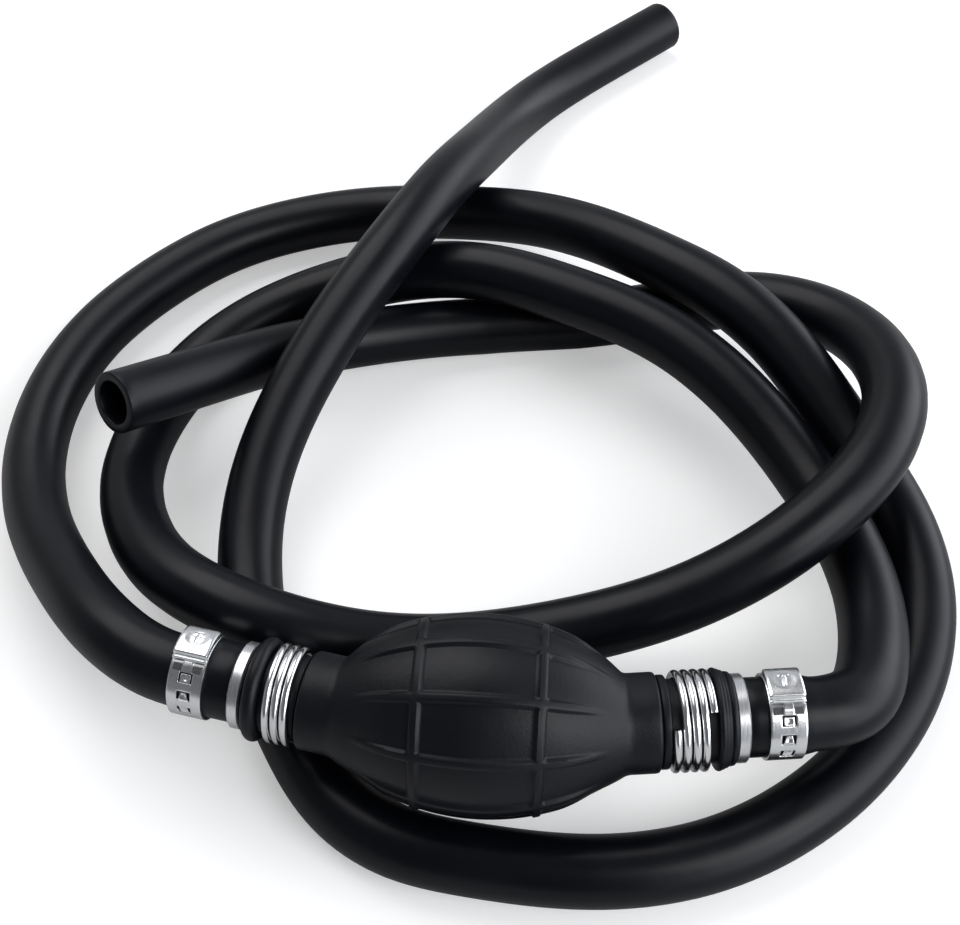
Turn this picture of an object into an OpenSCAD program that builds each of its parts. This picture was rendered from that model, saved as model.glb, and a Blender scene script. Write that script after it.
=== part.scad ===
// Hand siphon pump: a rubber squeeze bulb between two barbed check-valve
// fittings, each with a free length of hose. Flow runs from the inlet, -X,
// to the outlet, +X. The origin is the centre of the bulb, on its axis.

/* [Bulb] */
// Length of the swollen belly
belly_len = 70; // [60:1:80]
// Diameter of the belly between its ribs
belly_d = 48; // [42:0.5:60]
// Diameter of the belly where it meets the collars
belly_end_d = 24; // [21:0.2:28]
// Thickness of the rubber wall
bulb_wall = 3; // [2:0.25:4]
// Number of ribs along the belly, an even number
rib_count = 10; // [6:2:14]
// Height of the ribs at the middle of the belly
rib_height = 1; // [0.5:0.1:2]
// Width of the ribs
rib_width = 2.4; // [1:0.1:3]
// Distance of each hoop rib from the middle
hoop_x = 14.5; // [14.2:0.1:20]
// How far round the first rib is turned from the top
rib_turn = 22; // [0:1:35]

/* [Necks] */
// Length of the smooth collar beside the belly
collar_len = 7.4; // [4:0.2:8]
// Diameter of the collar
collar_d = 24.4; // [22:0.2:28]
// Diameter of the shoulder between the collar and the wire winding
shoulder_d = 22.8; // [21.5:0.2:24]
// Diameter of the neck under its wire winding
neck_d = 20.6; // [19:0.2:21]
// Length of the shoulder on the inlet neck
inlet_shoulder_len = 0.4; // [0.4:0.1:3]
// Length of the shoulder on the outlet neck
outlet_shoulder_len = 2; // [0.4:0.1:3]
// Diameter of the rolled bead at the end of the inlet neck
inlet_bead_d = 26; // [23:0.2:27]
// Diameter of the rolled bead at the end of the outlet neck
outlet_bead_d = 25; // [23:0.2:27]
// Width of the beads
bead_width = 3.9; // [2:0.1:4.5]
// Angle by which its hose draws the inlet neck aside, towards +Y
inlet_bend = 10.5; // [0:0.5:15]
// Angle by which its hose draws the outlet neck aside, towards +Y
outlet_bend = 7.5; // [0:0.5:15]

/* [Squeeze] */
// Length along the bulb of the wall that the thumb presses
press_len = 25.2; // [16:0.2:27]
// Width of the wall that the thumb presses
press_width = 24; // [16:0.5:28]

/* [Fittings] */
// Diameter of the spigots between their barbs
spigot_d = 14.4; // [12:0.2:18]
// How far the barbs stand out of a spigot
barb_height = 0.45; // [0.2:0.05:0.8]
// Number of barbs on each spigot
barb_count = 3; // [2:1:4]
// Length of the spigot inside the neck
neck_spigot_len = 16.5; // [15.5:0.5:18]
// Length of the spigot inside the hose
hose_spigot_len = 13.5; // [12:0.5:18]
// Diameter of the bare flange ring between neck and hose
flange_d = 21.6; // [18:0.2:26]
// Thickness of the flange ring
flange_len = 3; // [2:0.25:5]
// Diameter of the waterway through the hose spigot
waterway_d = 9; // [6:0.5:10]

/* [Valves] */
// Diameter of the valve chamber
chamber_d = 11.2; // [10.8:0.2:11.4]
// Diameter of the hole through the seat
seat_hole_d = 6.8; // [5:0.2:7.4]
// Thickness of the seat
seat_len = 2.5; // [1.5:0.25:3]
// Diameter of the poppet disc
poppet_d = 9.4; // [8.4:0.2:9.8]
// Thickness of the poppet disc
poppet_len = 1.4; // [1:0.1:2]
// Diameter of the poppet stem
stem_d = 2.4; // [2:0.1:3]
// Thickness of the seal washer
seal_len = 0.8; // [0.5:0.1:1.2]
// Thickness of the stem guide
guide_len = 2; // [1.5:0.25:3]
// Length of the spring with the valve shut
spring_len = 5.8; // [5:0.1:8]
// Diameter of the spring wire
spring_wire_d = 0.5; // [0.3:0.05:0.6]
// Diameter of the spring at the middle of its wire
spring_d = 3.8; // [3.6:0.1:4.2]
// Number of turns in the spring
spring_turns = 4; // [3:1:5]

/* [Wire windings] */
// Diameter of the wire wound round the necks
wire_d = 1.85; // [1.5:0.05:1.9]
// Step of the winding from turn to turn
wire_step = 2.3; // [2.3:0.05:2.4]
// Turns of wire on the inlet neck
inlet_turns = 3; // [2:0.05:3.4]
// Turns of wire on the outlet neck
outlet_turns = 3.9; // [2:0.05:3.9]

/* [Band clamps] */
// Distance from the flange ring to the inlet's band clamp
inlet_clamp_gap = 6.6; // [1:0.2:7]
// Distance from the flange ring to the outlet's band clamp
outlet_clamp_gap = 4.6; // [1:0.2:7]
// Width of the band
band_width = 8.8; // [7:0.2:10]
// Thickness of the band
band_t = 0.8; // [0.5:0.1:1.2]
// How far the closing box stands above the band
box_height = 1.8; // [1.2:0.1:3]

/* [Hoses] */
// Outer diameter of the hose
hose_d = 18; // [16:0.5:19]
// Bore of the hose
hose_bore_d = 12.7; // [10:0.1:13]
// Outer diameter of the hose end where a spigot stretches it
cuff_d = 19.4; // [18:0.2:22]
// Bore of the hose end where a spigot stretches it
cuff_bore_d = 14.6; // [12.4:0.2:17]
// Length of the straight length at the free end of each hose
tail_len = 28; // [20:1:40]
// Number of flat sides of a hose along its free length
hose_sides = 12; // [8:1:12]

/* [Hidden] */
$fn = 96;

INLET = -1;
OUTLET = 1;

// Clearances
fit_gap = 0.02;   // a piece pressed into its seat
seat_gap = 0.05;  // a stem in its guide, a band on its hose
wire_lift = 0.12; // a winding above the neck, so that its straight facets clear it
wire_room = 0.1;  // a winding's gap to the shoulder and to the bead
facet_step = 0.15; // the flat-sided length of a hose lies this far inside the rims of its round ends
cut_over = 1;     // a cutter runs this far past what it cuts

// Bulb
belly_half = belly_len / 2;
belly_r = belly_d / 2;
belly_drop = (belly_d - belly_end_d) / 2;
belly_arc_r = arc_radius(belly_half, belly_drop);
rib_end_x = 0.88 * belly_half;
rib_end_height = 0.2;
rib_drop = belly_r + rib_height - belly_radius(rib_end_x) - rib_end_height;
rib_arc_r = arc_radius(rib_end_x, rib_drop);
bend_x = belly_half - 2;
collar_root = bend_x - 4;
collar_end = belly_half + collar_len;
collar_round = 0.6;
seam_width = 0.5;
seam_depth = 0.5;
neck_bore_d = spigot_d + 0.2;
lip_len = 0.8;
lip_d = flange_d + 0.6;

// Fittings, as distances from the end of the neck
flange_end = flange_len;
spigot_end = flange_end + hose_spigot_len;
barb_d = spigot_d + 2 * barb_height;
barb_len = 2.6;
barb_step = 3.9;
barb_lead = 0.8;
tip_chamfer = 0.8;
flange_chamfer = 0.35;

// Valves, as distances along the flow from the seat's face
seal_x = seat_len;
disc_x = seal_x + seal_len;
spring_x = disc_x + poppet_len;
guide_x = spring_x + spring_len;
valve_len = guide_x + guide_len;
chamber_floor = 2.5; // how far the chamber stops short of the neck's end
inlet_valve_x = chamber_floor - neck_end(INLET);
outlet_valve_x = neck_end(OUTLET) - chamber_floor - valve_len;
head_d = 4.4;
head_len = 0.5;
boss_d = 3.2;
stem_past_guide = 0.4;
guide_rim = 1.1;
hub_d = 4.8;
spoke_count = 3;
spoke_width = 1.2;
spoke_turn = 30;
spoke_inset = 0.3;
spoke_sink = 0.4;
spring_rings = 8;

// Windings
wire_r = neck_d / 2 + wire_d / 2 + wire_lift;
wire_rings = 24;
wire_sides = 6;
inlet_wire_angle = 200;
outlet_wire_angle = 50;

// Band clamps
band_r = cuff_d / 2 + seat_gap;
band_outer_r = band_r + band_t;
box_r = band_outer_r + box_height;
box_angle = 60;
box_inset = 0.1; // how far the box lies inside the band's edges
box_sink = 0.25; // how far the box's feet go into the band
box_turn = -13;
window_angles = [38, 64, 90];
window_width = 4.6;
window_len = 3.2;
tongue_width = 2.4;
tongue_len = 2.6;
tongue_t = 0.5;
tongue_tilt = 18;
hook_angle = 25;
hook_width = 1.8;
hook_inset = 1.2;
slot_t = 0.8;
slot_bar = 3.6;
slot_stem = 3.8;

// Hoses: where the stretched end tapers to the plain hose
cuff_end = spigot_end + 1.8; // the hose stays stretched a little past its spigot
hose_start = cuff_end + 1.2;
seam_turn = 15;
end_sink = 0.4; // how far the ends of a flat-sided length go into the round ends
swept_bore_r = (hose_bore_d / 2 + facet_step) / cos(180 / hose_sides);

// Routes of the free lengths, from their necks on. The surface that the pump
// lies on is 34 below the bulb's axis, and a hose on it has its middle at -25.
inlet_route = [
    [-94.5, 18, -1.5], [-112.5, 38.5, -9], [-130, 66.5, -18], [-138.5, 93, -22.5],
    [-139.5, 119, -24.5], [-133, 145, -25], [-118.5, 169, -25], [-98.5, 189.5, -25],
    [-74, 203, -25], [-48, 209.5, -24.5], [-22.5, 208, -21.5], [2.5, 199.5, -15], [27.5, 182, -6.5],
    [47.5, 165, -1.5], [61, 153, 0.5], [79, 135, -2], [98.5, 107.5, -11], [112, 82.5, -16.5],
    [116.5, 59, -20], [112.5, 35, -23], [100.5, 13, -24.5], [81, -7, -24.5], [57.5, -20.5, -25],
    [31, -26.5, -25], [-1, -25.5, -25], [-22, -21, -25], [-34.5, -13, -25], [-48.5, 5, -25],
    [-62.5, 33.5, -25], [-69, 60, -22], [-68.5, 85.5, -15], [-59.5, 114, -4.5], [-45, 144, 5],
    [-34.5, 166.5, 7.5], [-26.5, 188, 5.5], [-17, 220, -5], [-6.5, 256, -18.5], [5.5, 280, -24],
    [28.5, 306.5, -25]
];
inlet_tail_angle = 46;
inlet_tail_rise = 0;
outlet_route = [
    [91, 11, -1.5], [97.5, 25, -5.5], [99.5, 47.5, -10], [95, 71, -12], [83.5, 95, -10.5],
    [66.5, 117.5, -6], [45.5, 136, -3], [17.5, 151.5, -3.5], [-11, 163.5, -6.5],
    [-29.5, 167.5, -11], [-48.5, 167.5, -16.5], [-69.5, 161.5, -21.5], [-87, 149, -24],
    [-100, 130.5, -25], [-107, 108.5, -24], [-107.5, 85.5, -21], [-100.5, 63.5, -15.5],
    [-88, 45, -9.5], [-71.5, 33, -6], [-53, 27, -7], [-31, 27, -13], [-5, 32.5, -19],
    [21, 38, -17.5], [49, 44.5, -10], [73, 54.5, 0], [90.5, 68.5, 6.5], [103, 86.5, 9],
    [108.5, 106, 7.5], [107, 126, 3], [98.5, 144.5, -3], [83.5, 158, -9], [69, 164.5, -14.5],
    [58, 166.5, -18.5], [44.5, 166, -22], [19.5, 162.5, -25], [-19.5, 156, -24.5],
    [-46, 147, -21.5], [-68, 133.5, -15.5], [-92, 109.5, -4]
];
outlet_tail_angle = 228;
outlet_tail_rise = 20;

// ---- Functions ----

function bend_of(side) = side == INLET ? inlet_bend : outlet_bend;
function turns_of(side) = side == INLET ? inlet_turns : outlet_turns;
function bead_d_of(side) = side == INLET ? inlet_bead_d : outlet_bead_d;
function shoulder_len_of(side) = side == INLET ? inlet_shoulder_len : outlet_shoulder_len;

// Places along a straight neck, as distances from the middle of the bulb
function shoulder_end(side) = collar_end + seam_width + shoulder_len_of(side);
function wire_start(side) = shoulder_end(side) + wire_room + wire_d / 2;
function wire_end(side) = wire_start(side) + wire_step * turns_of(side);
function bead_start(side) = wire_end(side) + wire_d / 2 + wire_room;
function neck_end(side) = bead_start(side) + bead_width + lip_len;
function clamp_start(side) =
    neck_end(side) + flange_end + (side == INLET ? inlet_clamp_gap : outlet_clamp_gap);

// Where a hose leaves its stretched end, and the way it leaves
function hose_exit(side) =
    let (reach = neck_end(side) + hose_start - bend_x)
    [side * (bend_x + reach * cos(bend_of(side))), reach * sin(bend_of(side)), 0];
function exit_heading(side) = [side * cos(bend_of(side)), sin(bend_of(side)), 0];

// Radius of the arc that drops by drop over half a chord
function arc_radius(half, drop) = (half * half + drop * drop) / (2 * drop);

// Outer radius of the belly between its ribs at a distance from the middle
function belly_radius(x) = belly_r - belly_arc_r + sqrt(belly_arc_r * belly_arc_r - x * x);

function unit(v) = v / norm(v);

// Direction at an angle round from +X that climbs at the angle rise
function heading(angle, rise) = [cos(angle) * cos(rise), sin(angle) * cos(rise), sin(rise)];

// Direction of a path at its point i, with its first and last directions given
function direction(path, i, first, last) =
    i == 0 ? first : i == len(path) - 1 ? last : unit(path[i + 1] - path[i - 1]);

// One ring of points round p, square to t; wide is a direction that t never has
function ring(p, t, r, sides, wide) =
    let (u = unit(cross(t, wide)), v = cross(u, t))
    [for (k = [0 : sides - 1]) p + r * cos(360 * k / sides) * u + r * sin(360 * k / sides) * v];

// Two triangles for each side of a strip between rings a and b of a point list
function strip(a, b, sides) = [
    for (k = [0 : sides - 1])
        let (m = (k + 1) % sides)
        each [[a + k, b + m, b + k], [a + k, a + m, b + m]]
];

// Least distance between points of a path that are at least skip apart in it
function least_step(path, skip) =
    min([for (i = [0 : len(path) - 1 - skip]) for (j = [i + skip : len(path) - 1]) norm(path[i] - path[j])]);

// Helix round +X. Angle 0 is +Z and 90 is -Y.
function helix(r, step, turns, start_x, start_angle, rings) =
    let (count = ceil(turns * rings))
    [
        for (i = [0 : count])
            let (turned = turns * 360 * i / count, angle = start_angle + turned)
            [start_x + step * turned / 360, -r * sin(angle), r * cos(angle)]
    ];

// A path with a straight length added at each end
function with_ends(path, length) =
    let (n = len(path))
    concat(
        [path[0] + length * unit(path[0] - path[1])],
        path,
        [path[n - 1] + length * unit(path[n - 1] - path[n - 2])]
    );

// ---- Shapes ----

// Turns what is built up +Z to lie along +X, with local +Y as +Z
module along_x() rotate([90, 0, 90]) children();

// Turns one side's neck, and all that is on it, by the bend at the end of the belly
module bent(side) {
    translate([side * bend_x, 0, 0])
        rotate([0, 0, side * bend_of(side)])
            translate([-side * bend_x, 0, 0]) children();
}

// Puts what is built straight, for the outlet side, on either side
module on_side(side) {
    bent(side) {
        if (side == INLET) mirror([1, 0, 0]) children();
        else children();
    }
}

// Puts what is built outwards from the end of a neck on either side
module past_neck(side) on_side(side) translate([neck_end(side), 0, 0]) children();

// Ring or disc along +X from x, built at the outlet side
module disc_at(x, d, length) translate([x, 0, 0]) along_x() cylinder(d = d, h = length);
module cone_at(x, d1, d2, length) translate([x, 0, 0]) along_x() cylinder(d1 = d1, d2 = d2, h = length);

// Round tube along +X from x
module tube(x, outer_d, inner_d, length) {
    difference() {
        disc_at(x, outer_d, length);
        disc_at(x - cut_over, inner_d, length + 2 * cut_over);
    }
}

// Closed solid rod along a path
module rod(path, r, sides, wide) {
    n = len(path);
    points = [
        for (i = [0 : n - 1])
            each ring(path[i], direction(path, i, unit(path[1] - path[0]), unit(path[n - 1] - path[n - 2])),
                r, sides, wide)
    ];
    ends = concat(
        [for (k = [1 : sides - 2]) [0, k + 1, k]],
        [for (k = [1 : sides - 2]) [(n - 1) * sides, (n - 1) * sides + k, (n - 1) * sides + k + 1]]
    );
    sides_faces = [for (i = [0 : n - 2]) each strip(i * sides, (i + 1) * sides, sides)];
    polyhedron(points = points, faces = concat(ends, sides_faces));
}

// Open tube along a path, with a ring at each point
module pipe(path, first, last, outer_r, inner_r, sides) {
    n = len(path) + 2;
    foot = path[0];
    top = path[len(path) - 1];
    stations = concat(
        [[foot - end_sink * first, first], [foot + end_sink * first, first]],
        [for (i = [1 : len(path) - 2]) [path[i], direction(path, i, first, last)]],
        [[top - end_sink * last, last], [top + end_sink * last, last]]
    );
    outer = [for (s = stations) each ring(s[0], s[1], outer_r, sides, [0, 0, 1])];
    inner = [for (s = stations) each ring(s[0], s[1], inner_r, sides, [0, 0, 1])];
    skip = n * sides;
    end = (n - 1) * sides;
    faces = concat(
        [for (i = [0 : n - 2]) each strip(i * sides, (i + 1) * sides, sides)],
        [for (i = [0 : n - 2]) each strip(skip + (i + 1) * sides, skip + i * sides, sides)],
        strip(skip, 0, sides),
        strip(end, skip + end, sides)
    );
    polyhedron(points = concat(outer, inner), faces = faces);
}

// Belly of revolution: an arc of radius arc_r that reaches r at the middle
module arc_body(arc_r, r, half) {
    along_x()
        rotate_extrude()
            intersection() {
                translate([r - arc_r, 0]) circle(r = arc_r);
                translate([0, -half]) square([r + cut_over, 2 * half]);
            }
}

// Ribs along the belly that fade towards its ends, and the two hoops
module ribs() {
    intersection() {
        arc_body(rib_arc_r, belly_r + rib_height, rib_end_x);
        for (k = [0 : rib_count / 2 - 1])
            rotate([rib_turn + 360 * k / rib_count, 0, 0])
                cube([2 * rib_end_x + cut_over, rib_width, 3 * belly_d], center = true);
    }
    intersection() {
        arc_body(belly_arc_r + rib_height, belly_r + rib_height, belly_half);
        for (side = [INLET, OUTLET])
            translate([side * hoop_x - rib_width / 2, 0, 0])
                along_x() cylinder(d = 2 * belly_d, h = rib_width);
    }
}

// Collar, seam, shoulder, wire groove, bead and lip of one end
module neck(side) {
    disc_at(collar_root, collar_d, collar_end - collar_round - collar_root);
    cone_at(collar_end - collar_round, collar_d, collar_d - 2 * collar_round, collar_round);
    disc_at(collar_end - collar_round, shoulder_d - 2 * seam_depth, seam_width + 2 * collar_round);
    disc_at(collar_end + seam_width, shoulder_d, shoulder_len_of(side));
    disc_at(collar_end, neck_d, neck_end(side) - collar_end);
    bead(bead_start(side) + bead_width / 2, bead_d_of(side));
    disc_at(bead_start(side) + bead_width / 2, lip_d, lip_len + bead_width / 2);
}

// Disc with a round rim, its middle at x
module bead(x, bead_d) {
    round_r = bead_width / 2;
    translate([x, 0, 0])
        along_x()
            rotate_extrude() {
                translate([bead_d / 2 - round_r, 0]) circle(r = round_r);
                translate([0, -round_r]) square([bead_d / 2 - round_r, bead_width]);
            }
}

// The whole rubber moulding, hollow
module bulb_moulding() {
    difference() {
        union() {
            arc_body(belly_arc_r, belly_r, belly_half);
            ribs();
            for (side = [INLET, OUTLET]) on_side(side) neck(side);
        }
        arc_body(belly_arc_r - bulb_wall, belly_r - bulb_wall, belly_half);
        for (side = [INLET, OUTLET])
            on_side(side) disc_at(belly_half / 2, neck_bore_d, neck_end(side) + cut_over - belly_half / 2);
    }
}

// Upright block over the wall that is pressed in
module press_block() {
    translate([-press_len / 2, -press_width / 2, belly_r / 3]) cube([press_len, press_width, belly_r]);
}

// Barbs that let a tube on towards +X and hold it
module barbs(start) {
    for (k = [0 : barb_count - 1])
        cone_at(start + k * barb_step, barb_d, spigot_d, barb_len);
}

// Flange ring with both rims chamfered
module flange() {
    small_d = flange_d - 2 * flange_chamfer;
    cone_at(0, small_d, flange_d, flange_chamfer);
    disc_at(flange_chamfer, flange_d, flange_len - 2 * flange_chamfer);
    cone_at(flange_end - flange_chamfer, flange_d, small_d, flange_chamfer);
}

module fitting() {
    difference() {
        union() {
            flange();
            disc_at(flange_end, spigot_d, hose_spigot_len - tip_chamfer);
            cone_at(spigot_end - tip_chamfer, spigot_d, spigot_d - tip_chamfer, tip_chamfer);
            barbs(flange_end + barb_lead);
            disc_at(-neck_spigot_len, spigot_d, neck_spigot_len);
            translate([-neck_spigot_len, 0, 0])
                mirror([1, 0, 0]) barbs(-(barb_count - 1) * barb_step - barb_len - barb_lead);
        }
        disc_at(-chamber_floor - cut_over, waterway_d, spigot_end + chamber_floor + 2 * cut_over);
        disc_at(-neck_spigot_len - cut_over, chamber_d, neck_spigot_len - chamber_floor + cut_over);
    }
}

module valve_seat() {
    difference() {
        disc_at(0, chamber_d - 2 * fit_gap, seat_len);
        disc_at(-cut_over, seat_hole_d, seat_len + 2 * cut_over);
        cone_at(-fit_gap, seat_hole_d + 1, seat_hole_d, 0.8);
    }
}

module valve_seal() {
    difference() {
        disc_at(seal_x, poppet_d - 0.2, seal_len);
        disc_at(seal_x - cut_over, boss_d + 2 * seat_gap, seal_len + 2 * cut_over);
    }
}

module valve_poppet() {
    stem_len = spring_len + guide_len + stem_past_guide;
    disc_at(seal_x - head_len, head_d, head_len);
    disc_at(seal_x, boss_d, seal_len);
    disc_at(disc_x, poppet_d, poppet_len);
    disc_at(spring_x, stem_d, stem_len);
}

module valve_guide() {
    spoke_start = hub_d / 2 - spoke_sink;
    spoke_len = chamber_d / 2 - guide_rim + spoke_sink - spoke_start;
    for (k = [0 : spoke_count - 1])
        rotate([spoke_turn + 360 * k / spoke_count, 0, 0])
            translate([guide_x + spoke_inset, spoke_start, -spoke_width / 2])
                cube([guide_len - 2 * spoke_inset, spoke_len, spoke_width]);
    tube(guide_x, chamber_d - 2 * fit_gap, chamber_d - 2 * guide_rim, guide_len);
    tube(guide_x, hub_d, stem_d + 2 * seat_gap, guide_len);
}

module valve_spring() {
    lift = spring_wire_d / 2 + fit_gap;
    rise = (spring_len - 2 * lift) / spring_turns;
    path = helix(spring_d / 2, rise, spring_turns, spring_x + lift, 0, spring_rings);
    echo(str("valve spring, least gap to itself: ", least_step(path, spring_rings - 1) - spring_wire_d));
    rod(path, spring_wire_d / 2, wire_sides, [1, 0, 0]);
}

module neck_wire(start_x, turns, start_angle) {
    path = helix(wire_r, wire_step, turns, start_x, start_angle, wire_rings);
    echo(str("neck wire, least gap to itself: ", least_step(path, wire_rings - 2) - wire_d));
    rod(with_ends(path, wire_d), wire_d / 2, wire_sides, [1, 0, 0]);
}

// Stands children up out of the band at an angle round from +Z towards -Y
module on_band(angle) rotate([angle, 0, 0]) children();

module clamp_box() {
    half = box_angle / 2;
    roof_t = band_t;
    difference() {
        intersection() {
            difference() {
                disc_at(box_inset, 2 * box_r, band_width - 2 * box_inset);
                disc_at(-cut_over, 2 * (band_outer_r - box_sink), band_width + 2 * cut_over);
            }
            wedge(half, 2 * box_r);
        }
        intersection() {
            disc_at(-cut_over, 2 * (box_r - roof_t), band_width + 2 * cut_over);
            wedge(half - 6, 2 * box_r);
        }
        translate([band_width / 2, 0, box_r]) {
            cube([slot_bar, slot_t, 4 * roof_t], center = true);
            translate([0, -slot_stem / 2, 0]) cube([slot_t, slot_stem, 4 * roof_t], center = true);
        }
    }
}

// Block that spans an angle either side of +Z
module wedge(half, size) {
    translate([-cut_over, 0, 0])
        along_x()
            linear_extrude(height = band_width + 2 * cut_over)
                polygon([[0, 0], [-size * tan(half), size], [size * tan(half), size]]);
}

module window_cut(angle, width, length, inset) {
    on_band(angle)
        translate([inset, -length / 2, band_r - cut_over])
            cube([width, length, band_t + 2 * cut_over]);
}

module band_clamp() {
    middle = (band_width - window_width) / 2;
    difference() {
        disc_at(0, 2 * band_outer_r, band_width);
        disc_at(-cut_over, 2 * band_r, band_width + 2 * cut_over);
        for (angle = window_angles) window_cut(angle, window_width, window_len, middle);
        for (inset = [hook_inset - cut_over, band_width - hook_width])
            window_cut(hook_angle, hook_width, window_len / 2, inset);
    }
    on_band(box_turn) clamp_box();
    for (angle = window_angles)
        on_band(angle)
            translate([(band_width - tongue_width) / 2, window_len / 2, band_r + (band_t - tongue_t) / 2])
                rotate([-tongue_tilt, 0, 0])
                    translate([0, -tongue_len, 0]) cube([tongue_width, tongue_len + 0.6, tongue_t]);
}

// Hose: an exact stretched end, the free length, and an exact straight tail
module hose(side, route, tail_angle, tail_rise) {
    path = concat([hose_exit(side)], route);
    echo(str("hose length: ", hose_length(path) + tail_len + hose_start - flange_end));
    past_neck(side) rotate([seam_turn, 0, 0]) hose_cuff();
    pipe(path, exit_heading(side), heading(tail_angle, tail_rise), hose_d / 2 - facet_step,
        swept_bore_r, hose_sides);
    translate(path[len(path) - 1])
        rotate([0, 90 - tail_rise, tail_angle])
            rotate([0, 0, seam_turn]) hose_tail();
}

// The end that a spigot stretches, and its taper to the plain hose
module hose_cuff() {
    difference() {
        union() {
            disc_at(flange_end, cuff_d, cuff_end - flange_end);
            cone_at(cuff_end, cuff_d, hose_d, hose_start - cuff_end);
        }
        disc_at(flange_end - cut_over, cuff_bore_d, cuff_end - flange_end + cut_over);
        cone_at(cuff_end - fit_gap, cuff_bore_d, hose_bore_d, hose_start - cuff_end + 2 * fit_gap);
    }
}

module hose_tail() {
    difference() {
        cylinder(d = hose_d, h = tail_len);
        translate([0, 0, -cut_over]) cylinder(d = hose_bore_d, h = tail_len + 2 * cut_over);
    }
}

function hose_length(route) =
    let (steps = [for (i = [1 : len(route) - 1]) norm(route[i] - route[i - 1])])
    steps * [for (s = steps) 1];

// ---- Sub-parts ----

module bulb() color("#1b1b1d") difference() { bulb_moulding(); press_block(); }
module bulb_crown() color("#1f1f21") intersection() { bulb_moulding(); press_block(); }

module inlet_fitting() color("#c8cacd") past_neck(INLET) fitting();
module outlet_fitting() color("#c8cacd") past_neck(OUTLET) fitting();

module inlet_valve_seat() color("#d2b25a") bent(INLET) translate([inlet_valve_x, 0, 0]) valve_seat();
module inlet_valve_seal() color("#3a2f2a") bent(INLET) translate([inlet_valve_x, 0, 0]) valve_seal();
module inlet_valve_poppet() color("#e6e4dc") bent(INLET) translate([inlet_valve_x, 0, 0]) valve_poppet();
module inlet_valve_spring() color("#d9dbdd") bent(INLET) translate([inlet_valve_x, 0, 0]) valve_spring();
module inlet_valve_guide() color("#e6e4dc") bent(INLET) translate([inlet_valve_x, 0, 0]) valve_guide();
module outlet_valve_seat() color("#d2b25a") bent(OUTLET) translate([outlet_valve_x, 0, 0]) valve_seat();
module outlet_valve_seal() color("#3a2f2a") bent(OUTLET) translate([outlet_valve_x, 0, 0]) valve_seal();
module outlet_valve_poppet() color("#e6e4dc") bent(OUTLET) translate([outlet_valve_x, 0, 0]) valve_poppet();
module outlet_valve_spring() color("#d9dbdd") bent(OUTLET) translate([outlet_valve_x, 0, 0]) valve_spring();
module outlet_valve_guide() color("#e6e4dc") bent(OUTLET) translate([outlet_valve_x, 0, 0]) valve_guide();

module inlet_neck_wire() {
    color("#dfe1e3") bent(INLET) neck_wire(-wire_end(INLET), inlet_turns, inlet_wire_angle);
}
module outlet_neck_wire() {
    color("#dfe1e3") bent(OUTLET) neck_wire(wire_start(OUTLET), outlet_turns, outlet_wire_angle);
}

module inlet_band_clamp() {
    color("#e4e5e7") bent(INLET) translate([-clamp_start(INLET) - band_width, 0, 0]) band_clamp();
}
module outlet_band_clamp() {
    color("#e4e5e7") bent(OUTLET) translate([clamp_start(OUTLET), 0, 0]) band_clamp();
}

module inlet_hose() color("#2a2b2d") hose(INLET, inlet_route, inlet_tail_angle, inlet_tail_rise);
module outlet_hose() color("#2a2b2d") hose(OUTLET, outlet_route, outlet_tail_angle, outlet_tail_rise);

bulb();
bulb_crown();
inlet_fitting();
inlet_valve_seat();
inlet_valve_seal();
inlet_valve_poppet();
inlet_valve_spring();
inlet_valve_guide();
inlet_neck_wire();
inlet_band_clamp();
inlet_hose();
outlet_fitting();
outlet_valve_seat();
outlet_valve_seal();
outlet_valve_poppet();
outlet_valve_spring();
outlet_valve_guide();
outlet_neck_wire();
outlet_band_clamp();
outlet_hose();
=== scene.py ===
"""Looks of the siphon bulb pump: a ribbed rubber bulb, two valve necks and two free hoses.

Lengths are in millimetres, along the straight neck that a part is made on, and in metres in the studio and
the finishes. The neck frames put a part in the pump's own frame, in metres, where the origin is the centre of
the bulb, +X is the flow from the inlet to the outlet and +Z is up.
"""

import logging
import math
from dataclasses import dataclass, field
from enum import Enum
from functools import partial
from itertools import accumulate
from typing import Callable, Dict, List, Optional, Sequence, Tuple, Union

import bpy
from mathutils import Matrix, Vector


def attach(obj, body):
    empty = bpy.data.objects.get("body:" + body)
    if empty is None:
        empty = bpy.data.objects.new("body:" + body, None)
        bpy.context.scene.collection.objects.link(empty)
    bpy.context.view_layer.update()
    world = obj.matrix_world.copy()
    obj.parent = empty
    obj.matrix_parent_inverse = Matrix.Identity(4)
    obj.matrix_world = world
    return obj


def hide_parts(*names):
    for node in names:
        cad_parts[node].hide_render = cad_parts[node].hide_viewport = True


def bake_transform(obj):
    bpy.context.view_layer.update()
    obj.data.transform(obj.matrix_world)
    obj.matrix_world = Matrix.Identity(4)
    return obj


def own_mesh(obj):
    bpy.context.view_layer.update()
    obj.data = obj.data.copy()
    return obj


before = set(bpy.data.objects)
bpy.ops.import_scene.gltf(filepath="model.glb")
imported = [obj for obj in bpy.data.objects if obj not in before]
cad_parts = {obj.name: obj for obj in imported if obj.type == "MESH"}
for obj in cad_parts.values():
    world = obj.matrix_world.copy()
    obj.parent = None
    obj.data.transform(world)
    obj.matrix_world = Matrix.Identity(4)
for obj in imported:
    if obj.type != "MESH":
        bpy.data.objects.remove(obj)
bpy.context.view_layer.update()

Span = Tuple[float, float]
Outline = List[Span]
Point = Tuple[float, float, float]
Colour = Tuple[float, float, float, float]
Piece = bpy.types.Object
Socket = bpy.types.NodeSocket

MM = 0.001
MERGE = 0.001
CLOUD_SPAN = (0.3, 0.7)
WHITE = (1.0, 1.0, 1.0, 1.0)
FLOOR_Z = -34.0
HOSE_LYING_Z = -25.0

log = logging.getLogger("siphon_pump")


# ---- layout


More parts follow.
